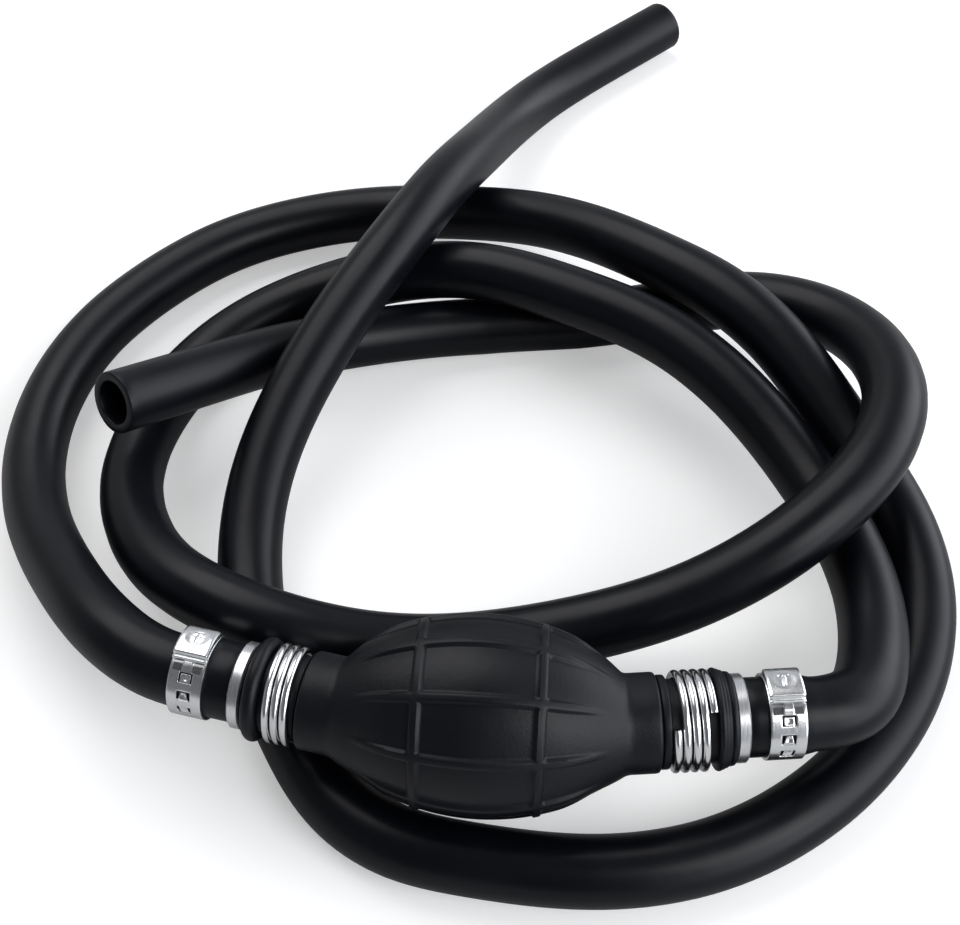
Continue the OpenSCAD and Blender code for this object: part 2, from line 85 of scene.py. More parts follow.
class Side(Enum):
    """The two ends of the pump, each with the sign of its direction along X."""

    INLET = -1
    OUTLET = 1

    def __str__(self) -> str:
        """Name of the side, with which its nodes' names begin."""
        return self.name.lower()


@dataclass(frozen=True)
class NeckFrame:
    """Where one neck and what is on it lie: straight along X, then turned about the end of the belly."""

    side: Side
    bend_deg: float
    shoulder_end: float
    bead_start: float
    neck_end: float
    clamp_start: float
    pivot: float = 33.0

    def turn(self) -> Matrix:
        """Turn of the neck about its pivot, in millimetres."""
        sign = self.side.value
        there = Matrix.Translation((sign * self.pivot, 0.0, 0.0))
        back = Matrix.Translation((-sign * self.pivot, 0.0, 0.0))
        return there @ Matrix.Rotation(math.radians(sign * self.bend_deg), 4, "Z") @ back

    def matrix(self, mirrored: bool = True) -> Matrix:
        """Matrix from a piece made on the straight outlet neck to its place, in metres.

        Args:
            mirrored: whether the inlet's copy is the mirror image of the outlet's.

        Returns:
            The matrix, with the change to metres in it.
        """
        flip = Matrix.Diagonal((self.side.value if mirrored else 1, 1, 1, 1))
        return Matrix.Scale(MM, 4) @ self.turn() @ flip

    def point(self, x: float) -> Vector:
        """Point on the neck's axis, x out from the middle of the bulb, in millimetres."""
        return self.turn() @ Vector((self.side.value * x, 0.0, 0.0))

    def heading(self) -> Vector:
        """Way that the neck points, away from the bulb."""
        angle = math.radians(self.side.value * self.bend_deg)
        return Vector((self.side.value * math.cos(angle), self.side.value * math.sin(angle), 0.0))


NECKS: Dict[Side, NeckFrame] = {
    Side.INLET: NeckFrame(Side.INLET, 10.5, 43.3, 52.25, 56.95, 66.55),
    Side.OUTLET: NeckFrame(Side.OUTLET, 7.5, 44.9, 55.92, 60.62, 68.22),
}


# ---- bench: making and shaping


def deselect() -> None:
    """Leave edit mode and select nothing."""
    if bpy.context.mode != "OBJECT":
        bpy.ops.object.mode_set(mode="OBJECT")
    bpy.ops.object.select_all(action="DESELECT")


def pick(piece: Piece) -> None:
    """Select one object and make it active."""
    deselect()
    piece.select_set(True)
    bpy.context.view_layer.objects.active = piece


def named(name: str) -> Piece:
    """Give the object that was just added and its mesh a name, and return it."""
    piece = bpy.context.active_object
    piece.name = piece.data.name = name
    return piece


def finish_mesh(piece: Piece) -> None:
    """Merge doubles and turn every face outwards.

    Args:
        piece: the mesh object, in millimetres.
    """
    pick(piece)
    bpy.ops.object.mode_set(mode="EDIT")
    bpy.ops.mesh.select_mode(type="VERT")
    bpy.ops.mesh.select_all(action="SELECT")
    bpy.ops.mesh.remove_doubles(threshold=MERGE)
    bpy.ops.mesh.normals_make_consistent(inside=False)
    bpy.ops.object.mode_set(mode="OBJECT")


def apply_modifier(piece: Piece, kind: str, **settings: object) -> None:
    """Add a modifier, set it and apply it.

    Args:
        piece: the mesh object.
        kind: the modifier's type.
        settings: its properties.
    """
    pick(piece)
    modifier = piece.modifiers.new(kind.lower(), kind)
    for key, value in settings.items():
        setattr(modifier, key, value)
    bpy.ops.object.modifier_apply(modifier=modifier.name)


def break_edges(piece: Piece, width: float, over_deg: float) -> None:
    """Bevel the edges that are sharper than an angle by a width in millimetres, in two steps."""
    apply_modifier(piece, "BEVEL", width=width, segments=2, limit_method="ANGLE",
                   angle_limit=math.radians(over_deg))


def evenly(low: float, high: float, steps: int) -> List[float]:
    """Numbers from low to high in so many even steps."""
    return [low + (high - low) * i / steps for i in range(steps + 1)]


def helix(start_x: float, rise: float, radius: float, from_deg: float, turn_deg: float,
          per_turn: int) -> List[Vector]:
    """Points along a winding round X, where 0 degrees is up and 90 is to the front.

    Args:
        start_x: where it starts.
        rise: how far it goes along X.
        radius: from the axis to the middle of the wire.
        from_deg: angle at its start.
        turn_deg: how far it turns.
        per_turn: steps in a full turn.

    Returns:
        The points, on the straight neck.
    """
    steps = int(turn_deg / 360.0 * per_turn)
    points = []
    for x, deg in zip(evenly(start_x, start_x + rise, steps), evenly(from_deg, from_deg + turn_deg, steps)):
        angle = math.radians(deg)
        points.append(Vector((x, -radius * math.sin(angle), radius * math.cos(angle))))
    return points


def turned(name: str, profile: Sequence[Span], steps: int) -> Piece:
    """Turn a closed profile round the X axis, as on a lathe.

    Args:
        name: name of the object.
        profile: points (x, radius) in order round the profile, in millimetres.
        steps: how many steps make the full turn.

    Returns:
        The closed ring-shaped object, in millimetres.
    """
    deselect()
    bpy.ops.mesh.primitive_circle_add(vertices=len(profile), radius=1.0, fill_type="NOTHING")
    piece = named(name)
    for vertex, (x, radius) in zip(piece.data.vertices, profile):
        vertex.co = (x, 0.0, radius)
    bpy.ops.object.mode_set(mode="EDIT")
    bpy.ops.mesh.select_all(action="SELECT")
    bpy.ops.mesh.spin(steps=steps, angle=2 * math.pi, center=(0, 0, 0), axis=(1, 0, 0))
    bpy.ops.object.mode_set(mode="OBJECT")
    finish_mesh(piece)
    return piece


def drawn(name: str, points: Sequence[Vector], radii: Sequence[float], sides: int, capped: bool) -> Piece:
    """Draw a round tube or rod along a line of points.

    Args:
        name: name of the object.
        points: the line, in millimetres.
        radii: outer radius at each point.
        sides: how many sides are round it.
        capped: whether the ends are closed.

    Returns:
        The mesh object, in millimetres.
    """
    curve = bpy.data.curves.new(name, "CURVE")
    curve.dimensions = "3D"
    curve.bevel_depth = 1.0
    curve.bevel_resolution = (sides - 4) // 4
    curve.use_fill_caps = capped
    spline = curve.splines.new("POLY")
    spline.points.add(len(points) - 1)
    for knot, point, radius in zip(spline.points, points, radii):
        knot.co = (*point, 1.0)
        knot.radius = radius
    piece = bpy.data.objects.new(name, curve)
    bpy.context.scene.collection.objects.link(piece)
    pick(piece)
    bpy.ops.object.convert(target="MESH")
    piece = named(name)
    finish_mesh(piece)
    return piece


def complete(piece: Piece, matrix: Matrix, smooth_deg: float, material: bpy.types.Material) -> None:
    """Move a mesh to its place with its object left at the origin, shade it smooth and give it its material.

    Args:
        piece: the mesh object, in millimetres.
        matrix: from there to the pump's frame, in metres.
        smooth_deg: edges sharper than this angle stay sharp.
        material: what it is made of.
    """
    piece.data.transform(matrix)
    if matrix.determinant() < 0:
        piece.data.flip_normals()
    piece.data.update()
    pick(piece)
    bpy.ops.object.shade_smooth_by_angle(angle=math.radians(smooth_deg))
    piece.data.materials.clear()
    piece.data.materials.append(material)
    log.info("%s: %d faces", piece.name, len(piece.data.polygons))


def wave(low: float, high: float, value: float) -> float:
    """Smooth step from 0 at low to 1 at high."""
    t = min(max((value - low) / (high - low), 0.0), 1.0)
    return t * t * (3 - 2 * t)


# ---- finishes


class Graph:
    """Lays out the nodes of one material or of the world."""

    def __init__(self, owner: Union[bpy.types.Material, bpy.types.World],
                 output: str = "ShaderNodeOutputMaterial") -> None:
        """Start with nothing but the output.

        Args:
            owner: the material or world.
            output: type of its output node.
        """
        owner.use_nodes = True
        self.owner = owner
        self.tree = owner.node_tree
        self.tree.nodes.clear()
        self.output = self.add(output)

    def feed(self, socket: Socket, value: object) -> None:
        """Link a socket to another one, or set it to a plain value."""
        if isinstance(value, Socket):
            self.tree.links.new(value, socket)
        else:
            socket.default_value = value

    def add(self, kind: str, settings: Optional[Dict[str, object]] = None, *values: object,
            **inputs: object) -> bpy.types.Node:
        """Add a node.

        Args:
            kind: the node's type.
            settings: its properties.
            values: what its first sockets get, in their order.
            inputs: what its other sockets get by name, with _ for a space.

        Returns:
            The node.
        """
        node = self.tree.nodes.new(kind)
        for key, value in (settings or {}).items():
            setattr(node, key, value)
        for socket, value in zip(node.inputs, values):
            self.feed(socket, value)
        for key, value in inputs.items():
            self.feed(node.inputs[key.replace("_", " ")], value)
        return node

    def joined(self, kind: str, *values: Union[Socket, float]) -> Socket:
        """Add or multiply values together."""
        total = values[0]
        for value in values[1:]:
            total = self.add("ShaderNodeMath", {"operation": kind}, total, value).outputs[0]
        return total

    def place(self, scale: Point = (1, 1, 1)) -> Socket:
        """Object coordinates, times a scale."""
        coordinates = self.add("ShaderNodeTexCoord").outputs["Object"]
        return self.add("ShaderNodeMapping", Vector=coordinates, Scale=scale).outputs[0]

    def noise(self, place: Socket, scale: float, detail: float) -> Socket:
        """Cloudy noise with so many waves to the metre."""
        return self.add("ShaderNodeTexNoise", Vector=place, Scale=scale, Detail=detail, Roughness=0.55).outputs[0]

    def spread(self, value: Socket, low: float, high: float, span: Span = CLOUD_SPAN,
               kind: str = "LINEAR") -> Socket:
        """Map a value that goes over a span to one that goes from low to high."""
        return self.add("ShaderNodeMapRange", {"interpolation_type": kind}, Value=value,
                        From_Min=span[0], From_Max=span[1], To_Min=low, To_Max=high).outputs[0]

    def tint(self, value: Socket, colour: Colour, low: float, high: float) -> Socket:
        """Vary a colour by a noise.

        Args:
            value: the noise.
            colour: the plain colour.
            low: its factor where the noise is low.
            high: its factor where the noise is high.

        Returns:
            The colour.
        """
        node = self.add("ShaderNodeValToRGB", None, value)
        for stop, position, factor in zip(node.color_ramp.elements, CLOUD_SPAN, (low, high)):
            stop.position = position
            stop.color = (*(part * factor for part in colour[:3]), 1.0)
        return node.outputs["Color"]

    def bump(self, height: Socket, strength: float, depth: float, **under: Socket) -> Socket:
        """Bump with a depth in metres, given Normal where it goes on top of another one."""
        return self.add("ShaderNodeBump", Height=height, Strength=strength, Distance=depth, **under).outputs[0]

    def close(self, shader: bpy.types.Node) -> None:
        """Send a shader to the output."""
        self.feed(self.output.inputs["Surface"], shader.outputs[0])

    def surface(self, **inputs: object) -> bpy.types.Material:
        """Close the graph with a Principled shader, its sockets given as in add()."""
        self.close(self.add("ShaderNodeBsdfPrincipled", **inputs))
        return self.owner


@dataclass(frozen=True)
class Rubber:
    """Moulded or extruded rubber with a fine skin."""

    name: str
    colour: Colour
    roughness: Span
    grain_per_m: float
    grain_depth: float
    grain_strength: float
    specular: float = 0.35
    blotch_per_m: float = 60.0

    def build(self) -> bpy.types.Material:
        """Make the material: grain in patches, soft dents and a change of gloss.

        Returns:
            The material.
        """
        graph = Graph(bpy.data.materials.new(self.name))
        place = graph.place()
        blotch = graph.noise(place, self.blotch_per_m, 4.0)
        cells = graph.add("ShaderNodeTexVoronoi", {"feature": "SMOOTH_F1"}, Vector=place,
                          Scale=self.grain_per_m).outputs["Distance"]
        pebbles = graph.joined("MULTIPLY", cells, graph.spread(blotch, 0.25, 1.0))
        dust = graph.noise(place, self.grain_per_m * 2.3, 2.0)
        soft = graph.bump(graph.noise(place, 140.0, 2.0), 0.12, 0.0006)
        grained = graph.bump(pebbles, self.grain_strength, self.grain_depth, Normal=soft)
        skin = graph.bump(dust, self.grain_strength * 0.4, self.grain_depth * 0.5, Normal=grained)
        return graph.surface(
            Base_Color=graph.tint(blotch, self.colour, 0.82, 1.2),
            Roughness=graph.spread(blotch, *self.roughness),
            Specular_IOR_Level=self.specular,
            Normal=skin,
        )


@dataclass(frozen=True)
class Metal:
    """Bare metal with drawn, rolled or turned marks."""

    name: str
    colour: Colour
    roughness: Span
    marks: Point
    mark_depth: float = 0.00004
    mark_strength: float = 0.25

    def build(self) -> bpy.types.Material:
        """Make the material: marks, faint stains and a change of polish.

        Returns:
            The material.
        """
        graph = Graph(bpy.data.materials.new(self.name))
        streaks = graph.noise(graph.place(self.marks), 1.0, 3.0)
        stain = graph.noise(graph.place(), 220.0, 4.0)
        return graph.surface(
            Base_Color=graph.tint(stain, self.colour, 0.9, 1.04),
            Metallic=1.0,
            Roughness=graph.spread(streaks, *self.roughness),
            Normal=graph.bump(streaks, self.mark_strength, self.mark_depth),
        )


@dataclass(frozen=True)
class MouldedPlastic:
    """Plain moulded plastic with a slight orange peel."""

    name: str
    colour: Colour
    roughness: Span = (0.36, 0.48)

    def build(self) -> bpy.types.Material:
        """Make the material: even colour with faint flow marks.

        Returns:
            The material.
        """
        graph = Graph(bpy.data.materials.new(self.name))
        flow = graph.noise(graph.place((1, 1, 2.2)), 260.0, 3.0)
        return graph.surface(
            Base_Color=graph.tint(flow, self.colour, 0.93, 1.0),
            Roughness=graph.spread(flow, *self.roughness),
            Normal=graph.bump(graph.noise(graph.place(), 1400.0, 2.0), 0.12, 0.00004),
        )


BULB_SKIN = Rubber("bulb_skin", (0.0030, 0.0034, 0.0054, 1), (0.38, 0.48), 1500.0, 0.00012, 0.35, 0.22)
HOSE_SKIN = Rubber("hose_skin", (0.0020, 0.0024, 0.0042, 1), (0.30, 0.40), 2600.0, 0.00004, 0.15, 0.2, 35.0)
SEAL_SKIN = Rubber("seal_skin", (0.05, 0.035, 0.03, 1), (0.5, 0.6), 3000.0, 0.00004, 0.15)
WIRE_STEEL = Metal("drawn_wire", (0.84, 0.84, 0.85, 1), (0.10, 0.2), (900, 5000, 5000))
SPRING_STEEL = Metal("spring_wire", (0.7, 0.71, 0.72, 1), (0.2, 0.3), (3000, 3000, 3000))
BAND_STEEL = Metal("rolled_strip", (0.84, 0.85, 0.86, 1), (0.2, 0.28), (900, 300, 300), 0.00003, 0.06)
PATCH_STEEL = Metal("knurled_patch", (0.09, 0.09, 0.09, 1), (0.35, 0.6), (3200, 3200, 3200), 0.0003, 0.9)
FLANGE_METAL = Metal("turned_aluminium", (0.80, 0.81, 0.82, 1), (0.24, 0.36), (6500, 120, 120), 0.00003, 0.3)
SEAT_BRASS = Metal("turned_brass", (0.78, 0.6, 0.3, 1), (0.2, 0.32), (6000, 150, 150))
VALVE_PLASTIC = MouldedPlastic("valve_plastic", (0.85, 0.84, 0.8, 1))


# ---- studio


@dataclass(frozen=True)
class Lamp:
    """Square soft lamp: where it hangs, the point that it faces, its side in metres and its power in watts."""

    name: str
    place: Point
    aim: Point
    size: float
    power: float

    def hang(self) -> None:
        """Put the lamp in the scene."""
        data = bpy.data.lights.new(self.name, "AREA")
        data.shape = "SQUARE"
        data.size = self.size
        data.energy = self.power
        lamp = bpy.data.objects.new(self.name, data)
        lamp.location = self.place
        lamp.rotation_euler = (Vector(self.aim) - Vector(self.place)).to_track_quat("-Z", "Y").to_euler()
        bpy.context.scene.collection.objects.link(lamp)


@dataclass
class Studio:
    """Camera, floor, world and lamps, a large one at the back left and a small one at the front right."""

    place: Point = (0.0135, -0.1961, 0.330)
    pitch_deg: float = 40.0
    yaw_deg: float = 4.0
    lens_mm: float = 58.575
    sensor_mm: float = 36.0
    sight_m: float = 60.0
    floor_size: float = 14.0
    floor_shade: float = 0.74
    # painted shade: the floor's tone as shiny parts reflect it, darker than its own tone
    floor_mirrored: float = 0.5
    floor_glow: float = 0.38
    right_glow: float = 3.8
    right_span: Span = (0.3, 0.8)
    left_glow: float = 0.1
    left_span: Span = (-0.3, -0.8)
    back_glow: float = 0.3
    back_span: Span = (0.5, 0.95)
    high_share: float = 0.15
    high_span: Span = (0.4, 0.8)
    room_glow: Span = (0.13, 0.2)
    room_span: Span = (-0.5, 0.5)
    room_colour: Colour = (0.92, 0.95, 1.0, 1)
    lamps: Tuple[Lamp, ...] = (Lamp("key", (-0.4, 0.6, 0.95), (0.0, 0.08, 0.0), 1.0, 9.0),
                               Lamp("fill", (0.7, -0.5, 0.8), (0.0, 0.05, 0.0), 0.6, 5.0))

    def camera(self) -> None:
        """Set up the camera that the views start from."""
        data = bpy.data.cameras.new("camera")
        data.lens = self.lens_mm
        data.sensor_width = self.sensor_mm
        data.sensor_fit = "HORIZONTAL"
        data.clip_end = self.sight_m
        camera = bpy.data.objects.new("camera", data)
        camera.location = self.place
        camera.rotation_euler = (math.radians(self.pitch_deg), 0.0, math.radians(self.yaw_deg))
        bpy.context.scene.collection.objects.link(camera)
        bpy.context.scene.camera = camera

    def floor(self) -> None:
        """Lay a plain white floor that keeps its shadows; in the reflections of shiny parts it is darker than its
        own tone, which is painted shade.
        """
        deselect()
        bpy.ops.mesh.primitive_grid_add(x_subdivisions=4, y_subdivisions=4, size=self.floor_size,
                                        location=(0, 0, FLOOR_Z * MM))
        floor = named("floor")
        graph = Graph(bpy.data.materials.new("floor_paper"))
        fibre = graph.noise(graph.place(), 900.0, 2.0)
        path = graph.add("ShaderNodeLightPath")
        glow = graph.joined("MULTIPLY", path.outputs["Is Camera Ray"], self.floor_glow)
        # painted shade: glossy rays see a darker floor, so rubber and metal mirror it darker
        tone_with_painted_reflection_shade = graph.spread(path.outputs["Is Glossy Ray"], self.floor_shade, self.floor_mirrored, (0, 1))
        floor.data.materials.append(graph.surface(
            Base_Color=tone_with_painted_reflection_shade, Roughness=0.9, Specular_IOR_Level=0.0,
            Emission_Color=WHITE, Emission_Strength=glow, Normal=graph.bump(fibre, 0.05, 0.0001)))

    def world(self) -> None:
        """Light the room: bright at the right, dim elsewhere, dimmer high up, and white to the camera."""
        world = bpy.data.worlds.new("room")
        bpy.context.scene.world = world
        graph = Graph(world, "ShaderNodeOutputWorld")
        way = graph.add("ShaderNodeTexCoord").outputs["Generated"]
        across, along, up = graph.add("ShaderNodeSeparateXYZ", None, way).outputs
        ease = partial(graph.spread, kind="SMOOTHSTEP")
        panels = graph.joined("ADD", ease(across, 0.0, self.right_glow, self.right_span),
                              ease(across, 0.0, self.left_glow, self.left_span),
                              ease(along, 0.0, self.back_glow, self.back_span))
        low = graph.joined("MULTIPLY", panels, ease(up, 1.0, self.high_share, self.high_span))
        glow = graph.joined("ADD", low, ease(along, *self.room_glow, self.room_span))
        room = graph.add("ShaderNodeBackground", Color=self.room_colour, Strength=glow)
        sky = graph.add("ShaderNodeBackground", Color=WHITE, Strength=1.0)
        seen = graph.add("ShaderNodeLightPath").outputs["Is Camera Ray"]
        graph.close(graph.add("ShaderNodeMixShader", None, seen, room.outputs[0], sky.outputs[0]))

    def light(self) -> None:
        """Hang the lamps."""
        for lamp in self.lamps:
            lamp.hang()


# ---- hoses


INLET_ROUTE: List[Point] = [
    (-94.5, 18, -1.5), (-112.5, 38.5, -9), (-130, 66.5, -18), (-138.5, 93, -22.5), (-139.5, 119, -24.5),
    (-133, 145, -25), (-118.5, 169, -25), (-98.5, 189.5, -25), (-74, 203, -25), (-48, 209.5, -24.5),
    (-22.5, 208, -21.5), (2.5, 199.5, -15), (27.5, 182, -6.5), (47.5, 165, -1.5), (61, 153, 0.5),
    (79, 135, -2), (98.5, 107.5, -11), (112, 82.5, -16.5), (116.5, 59, -20), (112.5, 35, -23),
    (100.5, 13, -24.5), (81, -7, -24.5), (57.5, -20.5, -25), (31, -26.5, -25), (-1, -25.5, -25),
    (-22, -21, -25), (-34.5, -13, -25), (-48.5, 5, -25), (-62.5, 33.5, -25), (-69, 60, -22),
    (-68.5, 85.5, -15), (-59.5, 114, -4.5), (-45, 144, 5), (-34.5, 166.5, 7.5), (-26.5, 188, 5.5),
    (-17, 220, -5), (-6.5, 256, -18.5), (5.5, 280, -24), (28.5, 306.5, -25),
]

OUTLET_ROUTE: List[Point] = [
    (91, 11, -1.5), (97.5, 25, -5.5), (99.5, 47.5, -10), (95, 71, -12), (83.5, 95, -10.5),
    (66.5, 117.5, -6), (45.5, 136, -3), (17.5, 151.5, -3.5), (-11, 163.5, -6.5), (-29.5, 167.5, -11),
    (-48.5, 167.5, -16.5), (-69.5, 161.5, -21.5), (-87, 149, -24), (-100, 130.5, -25), (-107, 108.5, -24),
    (-107.5, 85.5, -21), (-100.5, 63.5, -15.5), (-88, 45, -9.5), (-71.5, 33, -6), (-53, 27, -7),
    (-31, 27, -13), (-5, 32.5, -19), (21, 38, -17.5), (49, 44.5, -10), (73, 54.5, 0), (90.5, 68.5, 6.5),
    (103, 86.5, 9), (108.5, 106, 7.5), (107, 126, 3), (98.5, 144.5, -3), (83.5, 158, -9),
    (69, 164.5, -14.5), (58, 166.5, -18.5), (44.5, 166, -22), (19.5, 162.5, -25), (-19.5, 156, -24.5),
    (-46, 147, -21.5), (-68, 133.5, -15.5), (-92, 109.5, -4),
]


@dataclass
class Hose:
    """A free hose: its stretched end on the spigot, its run and its straight tail."""

    side: Side
    route: List[Point]
    tail_deg: float
    tail_rise_deg: float
    length_m: float
    outer_d: float = 18.0
    bore_d: float = 12.7
    cuff_d: float = 19.4
    cuff_start: float = 3.0
    cuff_end: float = 18.3
    run_start: float = 19.5
    tail_len: float = 28.0
    rim: float = 0.35
    sides: int = 48
    step: float = 2.4
    least_step: float = 0.72
    per_knot: int = 24
    cuff_ease: Span = (-1.5, 2.5)
    line: List[Vector] = field(default_factory=list)

    def on_neck(self, past: float) -> Vector:
        """Point on the neck's axis, past its end by so many millimetres."""
        neck = NECKS[self.side]
        return neck.point(neck.neck_end + past)

    def tail_way(self) -> Vector:
        """Direction of the straight tail."""
        way, rise = math.radians(self.tail_deg), math.radians(self.tail_rise_deg)
        return Vector((math.cos(way) * math.cos(rise), math.sin(way) * math.cos(rise), math.sin(rise)))

    def slopes(self, knots: List[Vector], spans: List[float]) -> List[Vector]:
        """Directions at the knots with which the run bends evenly through them.

        Args:
            knots: points that the run goes through.
            spans: distance from each knot to the next.

        Returns:
            The slope at each knot, the first along the neck and the last along the tail.
        """
        slopes = [NECKS[self.side].heading()]
        ratios = [0.0]
        for i in range(1, len(knots) - 1):
            before, after = spans[i - 1], spans[i]
            pull = 3 * (after / before * (knots[i] - knots[i - 1]) + before / after * (knots[i + 1] - knots[i]))
            scale = 2 * (before + after) - after * ratios[-1]
            slopes.append((pull - after * slopes[-1]) / scale)
            ratios.append(before / scale)
        slopes.append(self.tail_way())
        for i in range(len(knots) - 2, 0, -1):
            slopes[i] = slopes[i] - ratios[i] * slopes[i + 1]
        return slopes

    def run(self) -> List[Vector]:
        """Smooth line through the route's points, never under the floor.

        Returns:
            Its points, close together.
        """
        knots = [self.on_neck(self.run_start)] + [Vector(p) for p in self.route]
        spans = [(b - a).length for a, b in zip(knots, knots[1:])]
        slopes = self.slopes(knots, spans)
        fine: List[Vector] = []
        for i, span in enumerate(spans):
            for t in evenly(0.0, 1.0, self.per_knot)[:-1]:
                fine.append((2 * t ** 3 - 3 * t ** 2 + 1) * knots[i] + (3 * t ** 2 - 2 * t ** 3) * knots[i + 1]
                            + span * (t ** 3 - 2 * t ** 2 + t) * slopes[i]
                            + span * (t ** 3 - t ** 2) * slopes[i + 1])
        fine.append(knots[-1])
        return [Vector((p.x, p.y, max(p.z, HOSE_LYING_Z))) for p in fine]

    def centreline(self) -> List[Vector]:
        """Whole centreline, from the flange to the cut end.

        Returns:
            Its points, at an even step.
        """
        fine = [self.on_neck(self.cuff_start)] + self.run()
        fine.append(fine[-1] + self.tail_len * self.tail_way())
        line = [fine[0]]
        left = self.step
        for a, b in zip(fine, fine[1:]):
            span = (b - a).length
            done = 0.0
            while span - done > left:
                done += left
                line.append(a.lerp(b, done / span))
                left = self.step
            left -= span - done
        if (line[-1] - fine[-1]).length > self.least_step:
            line.append(fine[-1])
        else:
            line[-1] = fine[-1]
        return line

    def radii(self) -> List[float]:
        """Outer radius along the centreline: stretched on the spigot, then plain.

        Returns:
            The radius at each point.
        """
        spans = [(b - a).length for a, b in zip(self.line, self.line[1:])]
        past = [gone + self.cuff_start - self.cuff_end for gone in accumulate([0.0] + spans)]
        return [(self.cuff_d + (self.outer_d - self.cuff_d) * wave(*self.cuff_ease, x)) / 2 for x in past]

    def build(self) -> Piece:
        """Draw the hose, give it its wall and round off its cut rims.

        Returns:
            The hose.
        """
        self.line = self.centreline()
        hose = drawn(f"{self.side}_hose_run", self.line, self.radii(), self.sides, False)
        wall = (self.outer_d - self.bore_d) / 2
        apply_modifier(hose, "SOLIDIFY", thickness=wall, offset=-1.0, use_even_offset=True)
        break_edges(hose, self.rim, 60.0)
        complete(hose, Matrix.Scale(MM, 4), 50.0, HOSE_SKIN.build())
        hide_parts(f"{self.side}_hose")
        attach(hose, "pump")
        log.info("%s: %.0f mm long", hose.name, sum((b - a).length for a, b in zip(self.line, self.line[1:])))
        return hose


# ---- bulb


